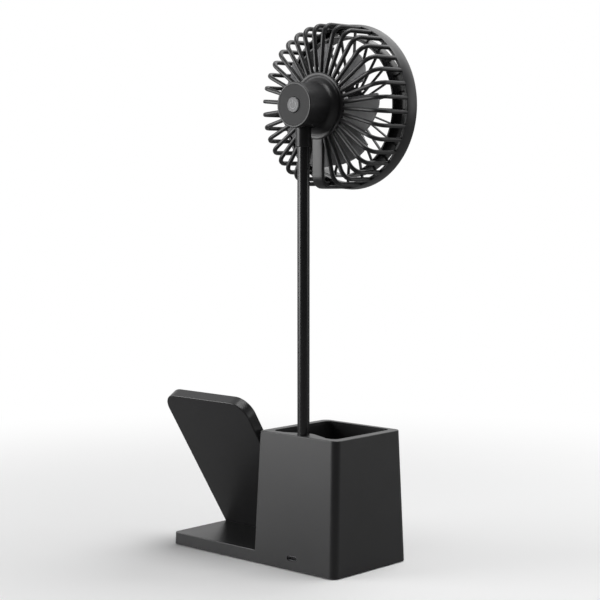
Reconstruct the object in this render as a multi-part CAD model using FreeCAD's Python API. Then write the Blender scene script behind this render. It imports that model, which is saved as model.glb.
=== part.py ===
import FreeCAD, Part
import math
import os

# Desk fan on a weighted base with a pen cup and a leaning phone stand.
# Millimetres, +Z up. Origin: centre of the base's footprint, on the surface that it stands on.
# The fan blows along -Y, the phone stand is at +X and the pen cup at -X.

V = FreeCAD.Vector
Y_AXIS = V(0, 1, 0)
X_AXIS = V(1, 0, 0)
Z_AXIS = V(0, 0, 1)

# Base
base_length = 169.0
base_depth = 83.0
platform_height = 10.0
box_length = 81.0
box_height = 100.0
taper_rear = 4.95        # how far each side of the box leans in over box_height
taper_front = 3.95
taper_outer = 2.75
taper_inner = 2.1
foot_height = 0.8        # the foot mat lifts the shell's lower edge by this
shell_wall = 2.4
roof_wall = 2.2
outer_corner = 5.5
inner_corner = 1.5
platform_corner = 4.0
rim_edge = 0.6           # rounding of the rim's edges
platform_edge = 0.5
lip_edge = 1.0

# Pen cup
rim_side = 6.7
rim_rear = 6.5
rim_front = 4.6
rim_thickness = 2.4
rim_corner = 5.0
cup_wall = 1.8
cup_floor_z = 22.0
cup_floor_thickness = 2.0

# Stem and its socket
stem_radius = 4.5
stem_bore = 3.4
stem_from_rear = 11.5    # stem axis in front of the base's rear lower edge
stem_foot_z = 13.4
running_clearance = 0.08
free_clearance = 0.4
socket_nose = 9.6        # radius of the socket's rounded nose round the stem
socket_half_width = 25.0
socket_below_rim = 0.4
seam = 0.15
retainer_radius = 7.0
retainer_thickness = 3.0
washer_thickness = 0.8
clamp_half_width = 11.6
clamp_front = 9.6        # its reach in front of the stem axis
clamp_rear = 7.6
clamp_plate = 2.0
clamp_screw_x = 9.3

# Phone stand
panel_lean = 31.9        # degrees from upright, towards the rear
panel_length = 130.2
panel_thickness = 8.8
panel_back_share = 5.4   # depth of the back shell; the front cover is the rest
panel_corner = 14.0
panel_edge = 0.9
panel_rear_foot = 57.1   # where its rear face meets the platform, from the rear lower edge
panel_box_gap = 0.3
panel_end_inset = 0.3
panel_wall = 2.0
tongue_width = 56.0
tongue_thickness = 4.0
tongue_depth = 5.0
lip_height = 5.0
lip_thickness = 3.0
coil_outer = 23.0
coil_inner = 10.0
coil_thickness = 1.2
coil_height = 72.0       # along the lean
ferrite_side = 50.0
ferrite_thickness = 1.0
grip_outer = 30.0
grip_inner = 26.0
grip_depth = 0.6
grip_proud = 0.4
charger_board_size = (40.0, 22.0, 1.2)
charger_board_height = 27.0

# Bottom
plate_thickness = 2.2
plate_clearance = 0.25
ballast_size = (70.0, 40.0, 3.4)
mat_inset = 11.0
mat_recess = 1.2
mat_corner = 6.0
screw_radius = 1.2
screw_head_radius = 2.2
screw_head_height = 1.4
boss_radius = 3.2
boss_reach = 6.0         # towards the corner, more than enough to meet both walls

# Power socket in the rear wall
port_x_from_centre = 1.6
port_z = 9.4
port_width = 9.6
port_height = 3.8
port_shell_wall = 0.3
port_shell_length = 7.4
tongue_size = (6.7, 4.6, 0.7)
board_size = (30.0, 26.0, 1.6)

# Fan head
axis_z = 340.5
hub_radius = 16.4
hub_rear_from_stem = 10.5
hub_front_from_stem = 14.8
hub_flare_radius = 21.1
hub_flare_length = 6.0
hub_bore = 13.2
cap_radius = 15.0
cap_thickness = 2.1
cap_clearance = 0.1
hub_edge = 0.7
button_radius = 5.65
button_gap = 0.35
button_proud = 0.9
button_thickness = 2.2
button_travel = 0.5
button_plunger = 1.6

# Neck and tilt joint
ferrule_radius = 5.7
ferrule_foot_z = 310.5
ferrule_shoulder_z = 324.5
ferrule_grip = 11.0
neck_tongue = 6.0
tilt_pin_z = 327.0
tilt_pin_radius = 1.2
tilt_pin_half_length = 8.6
slot_rear = 7.6
slot_front = 6.9
slot_top_z = 330.2

# Rear guard
guard_radius = 60.5
guard_front_radius = guard_radius + 0.7
guard_disc_radius = 24.6
guard_disc_thickness = 2.4
rib_count = 36
rib_width = 2.8
rib_depth = 3.0
rib_bend = 9.5
guard_depth = 40.0       # from the ribs' rear plane to the ring's front edge
ring_length = 10.5
ring_wall = 2.3
channel_width = 10.4
shaft_hole = 3.2
bead_height = 0.9

# Front grille
grille_rim_wall = 2.4
grille_rim_length = 5.5
grille_setback = 0.4
duct_radius = guard_radius - 8.5
duct_wall = 1.6
duct_length = 15.4
bar_count = 24
bar_width = 1.1
bar_depth = 2.5
bar_phase = 3.5
grille_disc_radius = 15.0
grille_cap_radius = 12.5
grille_cap_height = 1.6

# Impeller
blade_count = 7
blade_tip_radius = guard_radius - 15.0
blade_root_radius = 13.5
blade_root_chord = 17.0
blade_tip_chord = 34.0
blade_root_pitch = 48.0
blade_tip_pitch = 24.0
blade_thickness = 1.6
blade_centre_y = 3.4
blade_phase = 33.0          # the first blade, in degrees from +X
impeller_cup_radius = 14.6
impeller_cup_rear = 10.6
impeller_cup_front = -4.6
impeller_wall = 1.8
impeller_boss = 3.4

# Motor
motor_radius = 10.0
motor_wall = 0.7
motor_length = 15.0
motor_cap_thickness = 2.0
motor_boss_radius = 3.0
shaft_radius = 1.0
shaft_clearance = 0.05
armature_radius = 7.2
armature_length = 9.0
magnet_inner = 7.8
commutator_radius = 2.6
commutator_length = 2.4
hub_board_radius = 14.2
hub_board_thickness = 1.2
switch_body = 6.0
switch_height = 2.0

# Derived places
half_length = base_length / 2
half_depth = base_depth / 2
box_left = -half_length
box_right = box_left + box_length
stem_x = (box_left + box_right) / 2
stem_y = half_depth - stem_from_rear
head_rear_y = stem_y + hub_rear_from_stem
head_front_y = stem_y - hub_front_from_stem
guard_front_y = head_front_y - guard_depth
rim_z = box_height
bay_roof_z = platform_height - roof_wall
plate_top_z = foot_height + plate_thickness
motor_rear_y = head_front_y + motor_length
board_y = motor_rear_y + motor_cap_thickness + 1.8
cap_inner_y = head_rear_y - cap_thickness
port_x = stem_x + port_x_from_centre
rear_wall_at_port = half_depth - taper_rear * port_z / box_height


def save(name, shape):
    shape.exportStep("parts/" + name + ".step")


def cylinder(radius, height, base, direction=Z_AXIS):
    return Part.makeCylinder(radius, height, base, direction)


def ring(outer, inner, height, base, direction=Z_AXIS):
    return cylinder(outer, height, base, direction).cut(cylinder(inner, height, base, direction))


def block(x_low, x_high, y_low, y_high, z_low, z_high):
    return Part.makeBox(x_high - x_low, y_high - y_low, z_high - z_low, V(x_low, y_low, z_low))


def outline(x_low, x_high, y_low, y_high, z, radii):
    """Rectangle with a radius of its own at each corner, in the order
    low-low, high-low, high-high, low-high."""
    corners = [(x_low, y_low), (x_high, y_low), (x_high, y_high), (x_low, y_high)]
    inward = [(1, 1), (-1, 1), (-1, -1), (1, -1)]
    start = [(0, 1), (-1, 0), (0, -1), (1, 0)]
    finish = [(1, 0), (0, 1), (-1, 0), (0, -1)]
    arcs = []
    for (x, y), (ix, iy), (sx, sy), (fx, fy), radius in zip(corners, inward, start, finish, radii):
        centre = V(x + ix * radius, y + iy * radius, z)
        middle = centre - V(ix, iy, 0).normalize() * radius
        first = V(x + sx * radius, y + sy * radius, z)
        last = V(x + fx * radius, y + fy * radius, z)
        arcs.append((first, middle, last))
    edges = []
    for index, (first, middle, last) in enumerate(arcs):
        edges.append(Part.Arc(first, middle, last).toShape())
        edges.append(Part.LineSegment(last, arcs[(index + 1) % 4][0]).toShape())
    return Part.Wire(edges)


def prism(wire, height):
    return Part.Face(wire).extrude(V(0, 0, height))


def round_y(radius, y_low, y_high, x=None, z=None):
    """Cylinder along Y, on the fan's axis unless told otherwise."""
    x = stem_x if x is None else x
    z = axis_z if z is None else z
    return cylinder(radius, y_high - y_low, V(x, y_low, z), Y_AXIS)


def ring_y(outer, inner, y_low, y_high):
    return round_y(outer, y_low, y_high).cut(round_y(inner, y_low, y_high))


def turned(points):
    """Solid of revolution about the fan's axis from (radius, y) points; a point that is
    itself a pair of points is an arc through the first of them to the second."""
    edges = []
    place = V(stem_x + points[0][0], points[0][1], axis_z)
    first = place
    for point in points[1:]:
        if isinstance(point[0], tuple):
            (mid_r, mid_y), (end_r, end_y) = point
            middle = V(stem_x + mid_r, mid_y, axis_z)
            end = V(stem_x + end_r, end_y, axis_z)
            edges.append(Part.Arc(place, middle, end).toShape())
        else:
            end = V(stem_x + point[0], point[1], axis_z)
            edges.append(Part.LineSegment(place, end).toShape())
        place = end
    edges.append(Part.LineSegment(place, first).toShape())
    face = Part.Face(Part.Wire(edges))
    return face.revolve(V(stem_x, 0, axis_z), Y_AXIS, 360)


def about_axis(shape, angle):
    """Copy turned about the fan's axis; 0 is where it was, positive goes from +X to +Z."""
    copy = shape.copy()
    copy.rotate(V(stem_x, 0, axis_z), Y_AXIS, -angle)
    return copy


# ---- Base -------------------------------------------------------------------------------------

def box_sides(z, inset=0.0):
    share = z / box_height
    return (box_left + taper_outer * share + inset, box_right - taper_inner * share - inset,
            -half_depth + taper_front * share + inset, half_depth - taper_rear * share - inset)


def box_block(z_low, z_high, inset=0.0):
    outer = max(outer_corner - inset, 0.6)
    inner = max(inner_corner - inset, 0.6)
    radii = (outer, outer, inner, outer)
    wires = [outline(*box_sides(z, inset), z, radii) for z in (z_low, z_high)]
    return Part.makeLoft(wires, True, True)


def platform_block(z_low, z_high, inset=0.0):
    outer = max(outer_corner - inset, 0.6)
    end = max(platform_corner - inset, 0.6)
    wires = []
    for z in (z_low, z_high):
        left, _, front, rear = box_sides(z, inset)
        wires.append(outline(left, half_length - inset, front, rear, z, (outer, end, end, outer)))
    return Part.makeLoft(wires, True, True)


def cup_sides(grow=0.0):
    left, right, front, rear = box_sides(rim_z)
    return (left + rim_side - grow, right - rim_side + grow, front + rim_front - grow,
            rear - rim_rear + grow)


def cup_prism(z_low, z_high, grow=0.0):
    radius = rim_corner + grow
    return prism(outline(*cup_sides(grow), z_low, (radius,) * 4), z_high - z_low)


def plate_screw_places():
    margin = shell_wall + boss_radius - 0.4
    front = -half_depth + margin
    rear = half_depth - margin
    return [(box_left + margin, front), (box_left + margin, rear),
            (half_length - margin, front), (half_length - margin, rear)]


def mat_prism(z_low, z_high, clearance=0.0):
    x_reach = half_length - mat_inset + clearance
    y_reach = half_depth - mat_inset + clearance
    wire = outline(-x_reach, x_reach, -y_reach, y_reach, z_low, (mat_corner,) * 4)
    return prism(wire, z_high - z_low)


def port_slot(width, height, y_low, y_high):
    """Slot with round ends, along Y, centred on the power socket."""
    reach = (width - height) / 2
    shape = block(port_x - reach, port_x + reach, y_low, y_high, port_z - height / 2, port_z + height / 2)
    for side in (-1, 1):
        shape = shape.fuse(round_y(height / 2, y_low, y_high, port_x + side * reach, port_z))
    return shape.removeSplitter()


def panel_tongue_spot():
    centre_y = panel_point(0, panel_thickness / 2).y
    centre_x = (panel_left + panel_right) / 2
    return centre_x, centre_y


def soften_at(shape, z, radius):
    """Rounds the edges that lie in the level plane at z."""
    level = [edge for edge in shape.Edges
             if all(abs(vertex.Z - z) < 0.001 for vertex in edge.Vertexes)]
    return shape.makeFillet(radius, level)


def base_shell():
    tower = soften_at(box_block(foot_height, rim_z), rim_z, rim_edge)
    step = soften_at(platform_block(foot_height, platform_height), platform_height, platform_edge)
    shell = tower.fuse(step)
    lip_left = box_sides(platform_height)[1]
    lip_front = box_sides(platform_height)[2]
    lip_wire = outline(lip_left - 1.0, half_length - platform_corner, lip_front, lip_front + lip_thickness,
                       platform_height - 1.0, (0.5, 1.4, 1.4, 0.5))
    lip = soften_at(prism(lip_wire, lip_height + 1.0), platform_height + lip_height, lip_edge)
    shell = shell.fuse(lip).removeSplitter()
    shell = shell.cut(box_block(0.0, rim_z - rim_thickness, shell_wall))
    shell = shell.cut(platform_block(0.0, bay_roof_z, shell_wall))
    shell = shell.cut(cup_prism(rim_z - 10.0, rim_z + 1.0))
    notch_radius = stem_radius + free_clearance
    shell = shell.cut(cylinder(notch_radius, 60.0, V(stem_x, stem_y, rim_z - 59.0)))
    shell = shell.cut(port_slot(port_width, port_height, rear_wall_at_port - 4.0, half_depth + 1.0))
    for x, y in plate_screw_places():
        x_ends = sorted((x - math.copysign(boss_radius, x), x + math.copysign(boss_reach, x)))
        y_ends = sorted((y - math.copysign(boss_radius, y), y + math.copysign(boss_reach, y)))
        boss = block(*x_ends, *y_ends, plate_top_z, bay_roof_z + 0.5)
        boss = boss.common(platform_block(plate_top_z, bay_roof_z + 0.5, shell_wall - 0.5))
        shell = shell.fuse(boss)
        shell = shell.cut(cylinder(screw_radius, bay_roof_z - plate_top_z - 0.6, V(x, y, plate_top_z)))
    tongue_x, tongue_y = panel_tongue_spot()
    shell = shell.cut(block(tongue_x - tongue_width / 2, tongue_x + tongue_width / 2,
                            tongue_y - tongue_thickness / 2, tongue_y + tongue_thickness / 2,
                            bay_roof_z - 0.5, platform_height + 0.5))
    return shell.removeSplitter()


def pen_cup():
    top = rim_z - rim_thickness
    tub = cup_prism(cup_floor_z - cup_floor_thickness, top, cup_wall)
    tub = tub.cut(cup_prism(cup_floor_z, top + 1.0))
    tub = tub.cut(socket_core(cup_floor_z - 3.0, top + 1.0, 0.0))
    tub = tub.cut(cylinder(stem_radius + free_clearance, rim_z, V(stem_x, stem_y, cup_floor_z - 4.0)))
    for x in clamp_screw_places():
        tub = tub.cut(cylinder(screw_radius * 0.8, 10.0, V(x, stem_y, cup_floor_z - 5.0)))
    return tub.removeSplitter()


def socket_core(z_low, z_high, shrink):
    """The part of the socket that reaches through the cup's rear wall."""
    width = stem_radius + 2.2 - shrink
    rear = cup_sides()[3] + cup_wall - shrink
    return block(stem_x - width, stem_x + width, stem_y - 1.0, rear, z_low, z_high)


def socket_outline(z):
    """Bell shape in plan: a round nose about the stem, with straight flanks to the rear wall."""
    rear = cup_sides()[3]
    nose = V(stem_x, stem_y, z)
    foot = V(stem_x + socket_half_width, rear, z)
    reach = foot - nose
    spread = math.acos(socket_nose / reach.Length)
    bearing = math.atan2(reach.y, reach.x) - spread
    touch = nose + V(math.cos(bearing), math.sin(bearing), 0) * socket_nose
    mirror = V(2 * stem_x - touch.x, touch.y, z)
    far_foot = V(stem_x - socket_half_width, rear, z)
    tip = V(stem_x, stem_y - socket_nose, z)
    edges = [Part.LineSegment(foot, touch).toShape(), Part.Arc(touch, tip, mirror).toShape(),
             Part.LineSegment(mirror, far_foot).toShape(), Part.LineSegment(far_foot, foot).toShape()]
    return Part.Wire(edges)


def stem_socket():
    top = rim_z - socket_below_rim
    body = prism(socket_outline(cup_floor_z), top - cup_floor_z)
    body = body.common(block(stem_x - 40, stem_x + 40, 0, cup_sides()[3] - seam, 0, rim_z))
    core = socket_core(cup_floor_z - cup_floor_thickness, rim_z - rim_thickness, 0.0)
    body = body.fuse(core)
    bore = cylinder(stem_radius + running_clearance, rim_z, V(stem_x, stem_y, cup_floor_z - 5.0))
    for x in clamp_screw_places():
        body = body.cut(cylinder(screw_radius * 0.8, 3.0, V(x, stem_y, cup_floor_z - 1.0)))
    return body.cut(bore).removeSplitter()


def base_plate():
    plate = platform_block(foot_height, plate_top_z, shell_wall + plate_clearance)
    for x, y in plate_screw_places():
        plate = plate.cut(cylinder(screw_radius, 10.0, V(x, y, 0)))
        plate = plate.cut(cylinder(screw_head_radius, screw_head_height, V(x, y, foot_height)))
    plate = plate.cut(mat_prism(foot_height, foot_height + mat_recess, 0.1))
    for x, y in board_post_places():
        plate = plate.fuse(cylinder(2.0, board_z() - plate_top_z, V(x, y, plate_top_z)))
    return plate.removeSplitter()


def base_screws():
    screws = []
    for x, y in plate_screw_places():
        head = cylinder(screw_head_radius, screw_head_height, V(x, y, foot_height))
        shank_length = bay_roof_z - foot_height - screw_head_height - 0.6
        shank = cylinder(screw_radius, shank_length, V(x, y, foot_height + screw_head_height))
        drive = block(x - 1.5, x + 1.5, y - 0.25, y + 0.25, foot_height, foot_height + 0.7)
        cross = block(x - 0.25, x + 0.25, y - 1.5, y + 1.5, foot_height, foot_height + 0.7)
        screws.append(head.fuse(shank).cut(drive).cut(cross))
    return Part.makeCompound(screws)


def foot_mat():
    mat = mat_prism(0.0, foot_height + mat_recess)
    lower = [edge for edge in mat.Edges if abs(edge.CenterOfMass.z) < 0.01]
    return mat.makeChamfer(0.4, lower)


def ballast_plate():
    length, depth, thickness = ballast_size
    centre_x = (box_right + half_length) / 2 - 6.0
    y_low = -depth / 2 + 11.0
    wire = outline(centre_x - length / 2, centre_x + length / 2, y_low, y_low + depth, plate_top_z, (3.0,) * 4)
    return prism(wire, thickness)


def board_z():
    return port_z - port_height / 2 - board_size[2] + port_shell_wall


def board_spot():
    """Rear edge of the power board, just inside the rear wall."""
    return rear_wall_at_port - shell_wall - 1.0


def board_post_places():
    width, depth, _ = board_size
    rear = board_spot()
    return [(port_x + side * (width / 2 - 3.0), rear - depth + 3.0) for side in (-1, 1)]


def power_board():
    width, depth, thickness = board_size
    rear = board_spot()
    return block(port_x - width / 2, port_x + width / 2, rear - depth, rear, board_z(), board_z() + thickness)


def usb_shell():
    rear = rear_wall_at_port - 0.6
    wall = port_shell_wall
    outer = port_slot(port_width - 0.6, port_height - 0.6, rear - port_shell_length, rear)
    inner = port_slot(port_width - 0.6 - 2 * wall, port_height - 0.6 - 2 * wall,
                      rear - port_shell_length + wall, rear + 0.5)
    return outer.cut(inner)


def usb_tongue():
    width, length, thickness = tongue_size
    back = rear_wall_at_port - 0.6 - port_shell_length + port_shell_wall
    blade = block(port_x - width / 2, port_x + width / 2, back, back + length + 1.6,
                  port_z - thickness / 2, port_z + thickness / 2)
    root = block(port_x - width / 2, port_x + width / 2, back, back + 1.6, port_z - 1.1, port_z + 1.1)
    return blade.fuse(root).removeSplitter()


# ---- Phone stand ------------------------------------------------------------------------------

lean = math.radians(panel_lean)
panel_left = box_sides(platform_height)[1] + panel_box_gap
panel_right = half_length - panel_end_inset
panel_middle = (panel_left + panel_right) / 2
panel_foot_y = half_depth - panel_rear_foot


def panel_point(up, depth):
    """Point of the panel's middle plane: up along the lean, depth forward of its rear face."""
    y = panel_foot_y + up * math.sin(lean) - depth * math.cos(lean)
    z = platform_height + up * math.cos(lean) + depth * math.sin(lean)
    return V(panel_middle, y, z)


def lay_on_panel(shape):
    """Turns a shape drawn with x across, y up the panel and z into its depth."""
    copy = shape.copy()
    frame = FreeCAD.Matrix()
    across = V(-1, 0, 0)
    up = V(0, math.sin(lean), math.cos(lean))
    depth = V(0, -math.cos(lean), math.sin(lean))
    origin = panel_point(0, 0)
    frame.A11, frame.A21, frame.A31 = across.x, across.y, across.z
    frame.A12, frame.A22, frame.A32 = up.x, up.y, up.z
    frame.A13, frame.A23, frame.A33 = depth.x, depth.y, depth.z
    frame.A14, frame.A24, frame.A34 = origin.x, origin.y, origin.z
    return copy.transformShape(frame, True)


def panel_slab(depth_low, depth_high, inset=0.0, below=12.0):
    half = (panel_right - panel_left) / 2 - inset
    corner = panel_corner - inset
    foot = -below if inset == 0.0 else 6.0 + inset
    wire = outline(-half, half, foot, panel_length - inset, depth_low,
                   (0.8, 0.8, corner, corner))
    return prism(wire, depth_high - depth_low)


def above_platform(shape):
    size = 400.0
    return shape.common(block(-size, size, -size, size, platform_height, size))


def soften_face(slab, depth):
    """Rounds the outline of the slab's face at that depth, all but its buried foot."""
    outline_edges = [edge for edge in slab.Edges
                     if all(abs(vertex.Z - depth) < 0.001 for vertex in edge.Vertexes)
                     and max(vertex.Y for vertex in edge.Vertexes) > 0]
    return slab.makeFillet(panel_edge, outline_edges)


def panel_back_shell():
    slab = soften_face(panel_slab(0.0, panel_back_share), 0.0)
    hollow = panel_slab(panel_wall, panel_back_share + 1.0, panel_wall)
    shell = slab.cut(hollow)
    for side in (-1, 1):
        post = cylinder(2.4, panel_back_share - panel_wall, V(side * 26.0, 104.0, panel_wall))
        shell = shell.fuse(post)
    shell = above_platform(lay_on_panel(shell))
    tongue_x, tongue_y = panel_tongue_spot()
    tongue = block(tongue_x - tongue_width / 2, tongue_x + tongue_width / 2,
                   tongue_y - tongue_thickness / 2, tongue_y + tongue_thickness / 2,
                   platform_height - tongue_depth, platform_height + 1.5)
    return shell.fuse(tongue.cut(lay_on_panel(panel_slab(panel_back_share, 20.0)))).removeSplitter()


def panel_front_cover():
    slab = soften_face(panel_slab(panel_back_share, panel_thickness), panel_thickness)
    hollow = panel_slab(panel_back_share - 1.0, panel_thickness - panel_wall, panel_wall)
    groove = ring(grip_outer, grip_inner, grip_depth, V(0, coil_height, panel_thickness - grip_depth))
    cover = above_platform(lay_on_panel(slab.cut(hollow).cut(groove)))
    tongue_x, tongue_y = panel_tongue_spot()
    slot = block(tongue_x - tongue_width / 2, tongue_x + tongue_width / 2,
                 tongue_y - tongue_thickness / 2, tongue_y + tongue_thickness / 2,
                 platform_height - tongue_depth, platform_height + 1.5)
    return cover.cut(slot.cut(lay_on_panel(panel_slab(panel_back_share, 20.0)))).removeSplitter()


def grip_ring():
    flat = ring(grip_outer, grip_inner, grip_depth + grip_proud,
                V(0, coil_height, panel_thickness - grip_depth))
    return lay_on_panel(flat)


def charge_coil():
    depth = panel_thickness - panel_wall - coil_thickness
    return lay_on_panel(ring(coil_outer, coil_inner, coil_thickness, V(0, coil_height, depth)))


def coil_ferrite():
    depth = panel_thickness - panel_wall - coil_thickness - ferrite_thickness
    half = ferrite_side / 2
    return lay_on_panel(block(-half, half, coil_height - half, coil_height + half, depth,
                              depth + ferrite_thickness))


def charger_board():
    width, height, thickness = charger_board_size
    return lay_on_panel(block(-width / 2, width / 2, charger_board_height - height / 2,
                              charger_board_height + height / 2, panel_wall, panel_wall + thickness))


def ledge_pad():
    front = box_sides(platform_height)[2] + lip_thickness + 0.6
    rear = panel_foot_y - panel_thickness / math.cos(lean) - 0.6
    wire = outline(panel_left + 6.0, panel_right - 6.0, front, rear, platform_height, (1.5,) * 4)
    return prism(wire, 0.8)


# ---- Stem -------------------------------------------------------------------------------------

def stem_tube():
    top = ferrule_foot_z + ferrule_grip
    return ring(stem_radius, stem_bore, top - stem_foot_z, V(stem_x, stem_y, stem_foot_z))


def stem_washer():
    top = cup_floor_z - cup_floor_thickness
    return ring(retainer_radius - 0.6, stem_radius + running_clearance, washer_thickness,
                V(stem_x, stem_y, top - washer_thickness))


def stem_retainer():
    top = cup_floor_z - cup_floor_thickness - washer_thickness
    return ring(retainer_radius, stem_radius, retainer_thickness,
                V(stem_x, stem_y, top - retainer_thickness))


def clamp_screw_places():
    return [stem_x - clamp_screw_x, stem_x + clamp_screw_x]


def stem_clamp():
    """Cover screwed under the cup's floor, which keeps the retainer in its pocket."""
    top = cup_floor_z - cup_floor_thickness
    pocket_z = top - washer_thickness - retainer_thickness
    body = block(stem_x - clamp_half_width, stem_x + clamp_half_width, stem_y - clamp_front,
                 stem_y + clamp_rear, pocket_z - clamp_plate, top)
    pocket = cylinder(retainer_radius + 0.3, 20.0, V(stem_x, stem_y, pocket_z))
    body = body.cut(pocket)
    body = body.cut(cylinder(stem_radius + free_clearance, 20.0, V(stem_x, stem_y, pocket_z - 10.0)))
    for x in clamp_screw_places():
        body = body.cut(cylinder(screw_radius * 0.8, 20.0, V(x, stem_y, pocket_z - 10.0)))
    return body


def clamp_screws():
    low = cup_floor_z - cup_floor_thickness - washer_thickness - retainer_thickness - clamp_plate
    screws = []
    for x in clamp_screw_places():
        head = cylinder(screw_radius * 1.6, screw_head_height, V(x, stem_y, low - screw_head_height))
        shank = cylinder(screw_radius * 0.8, cup_floor_z + 1.5 - low, V(x, stem_y, low))
        screws.append(head.fuse(shank))
    return Part.makeCompound(screws)


def fan_lead():
    foot = stem_foot_z + 1.0
    top = ferrule_foot_z + ferrule_grip - 1.0
    leads = []
    for side in (-1, 1):
        leads.append(cylinder(1.2, top - foot, V(stem_x + side * 1.4, stem_y, foot)))
    return Part.makeCompound(leads)


def neck_ferrule():
    body = cylinder(ferrule_radius, ferrule_shoulder_z - ferrule_foot_z, V(stem_x, stem_y, ferrule_foot_z))
    lower = [edge for edge in body.Edges if abs(edge.CenterOfMass.z - ferrule_foot_z) < 0.01]
    body = body.makeFillet(0.5, lower)
    half = neck_tongue / 2
    column = cylinder(ferrule_radius - 0.3, tilt_pin_z - ferrule_shoulder_z + half + 2.0,
                      V(stem_x, stem_y, ferrule_shoulder_z - 1.0))
    knuckle = cylinder(half, 40.0, V(stem_x - 20.0, stem_y, tilt_pin_z), X_AXIS)
    web = block(stem_x - 20, stem_x + 20, stem_y - half, stem_y + half, ferrule_shoulder_z - 1.0, tilt_pin_z)
    body = body.fuse(column.common(knuckle.fuse(web)))
    body = body.cut(cylinder(stem_radius, ferrule_grip, V(stem_x, stem_y, ferrule_foot_z)))
    pin_hole = cylinder(tilt_pin_radius + running_clearance, 20.0, V(stem_x - 10.0, stem_y, tilt_pin_z), X_AXIS)
    return body.cut(pin_hole).removeSplitter()


# ---- Fan head ---------------------------------------------------------------------------------

def hub_housing():
    flare = hub_flare_radius - hub_radius
    bow = 1 - math.sqrt(0.5)
    start_y = head_front_y + hub_flare_length
    points = [(hub_bore, head_front_y), (hub_flare_radius, head_front_y),
              ((hub_radius + flare * bow, start_y - hub_flare_length * (1 - bow)), (hub_radius, start_y)),
              (hub_radius, head_rear_y - hub_edge),
              ((hub_radius - hub_edge * bow, head_rear_y - hub_edge * bow), (hub_radius - hub_edge, head_rear_y)),
              (cap_radius, head_rear_y), (cap_radius, cap_inner_y), (hub_board_radius + 0.1, cap_inner_y),
              (hub_board_radius + 0.1, board_y), (hub_bore, board_y)]
    housing = turned(points)
    slot_half = ferrule_radius + 0.3
    slot = block(stem_x - slot_half, stem_x + slot_half, stem_y - slot_front, stem_y + slot_rear,
                 axis_z - hub_radius - 2.0, slot_top_z)
    housing = housing.cut(slot)
    pin = cylinder(tilt_pin_radius, 2 * tilt_pin_half_length,
                   V(stem_x - tilt_pin_half_length, stem_y, tilt_pin_z), X_AXIS)
    housing = housing.cut(pin)
    for x, z in hub_screw_places():
        housing = housing.cut(round_y(screw_radius * 0.8, head_front_y, head_front_y + 6.0, x, z))
    return housing.removeSplitter()


def hub_screw_places():
    radius = (hub_bore + hub_radius) / 2
    places = []
    for angle in (90, 210, 330):
        places.append((stem_x + radius * math.cos(math.radians(angle)),
                       axis_z + radius * math.sin(math.radians(angle))))
    return places


def hub_screws():
    screws = []
    for x, z in hub_screw_places():
        head_y = head_front_y - guard_disc_thickness
        head = round_y(screw_radius * 1.4, head_y, head_y + 1.0, x, z)
        shank = round_y(screw_radius * 0.8, head_y + 1.0, head_front_y + 6.0, x, z)
        screws.append(head.fuse(shank))
    return Part.makeCompound(screws)


def hub_cap():
    cap = round_y(cap_radius - cap_clearance, cap_inner_y, head_rear_y - 0.1)
    rim = [edge for edge in cap.Edges if abs(edge.CenterOfMass.y - (head_rear_y - 0.1)) < 0.01]
    cap = cap.makeFillet(0.25, rim)
    return cap.cut(round_y(button_radius + button_gap, cap_inner_y - 1.0, head_rear_y + 1.0))


def power_button():
    face_y = head_rear_y + button_proud
    cap = round_y(button_radius, face_y - button_thickness, face_y)
    rim = [edge for edge in cap.Edges if abs(edge.CenterOfMass.y - face_y) < 0.01]
    cap = cap.makeFillet(0.5, rim)
    plunger_foot = switch_top_y() + button_travel + 0.1
    return cap.fuse(round_y(button_plunger, plunger_foot, face_y - button_thickness + 0.1)).removeSplitter()


def switch_top_y():
    return board_y + hub_board_thickness + switch_height


def tact_switch():
    half = switch_body / 2
    return block(stem_x - half, stem_x + half, board_y + hub_board_thickness, switch_top_y(),
                 axis_z - half, axis_z + half)


def hub_board():
    board = round_y(hub_board_radius, board_y, board_y + hub_board_thickness)
    return board.cut(block(stem_x - 20, stem_x + 20, board_y - 1, board_y + 5, axis_z - 20, axis_z - 11.4))


def tilt_pin():
    return cylinder(tilt_pin_radius, 2 * tilt_pin_half_length,
                    V(stem_x - tilt_pin_half_length, stem_y, tilt_pin_z), X_AXIS)


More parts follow.
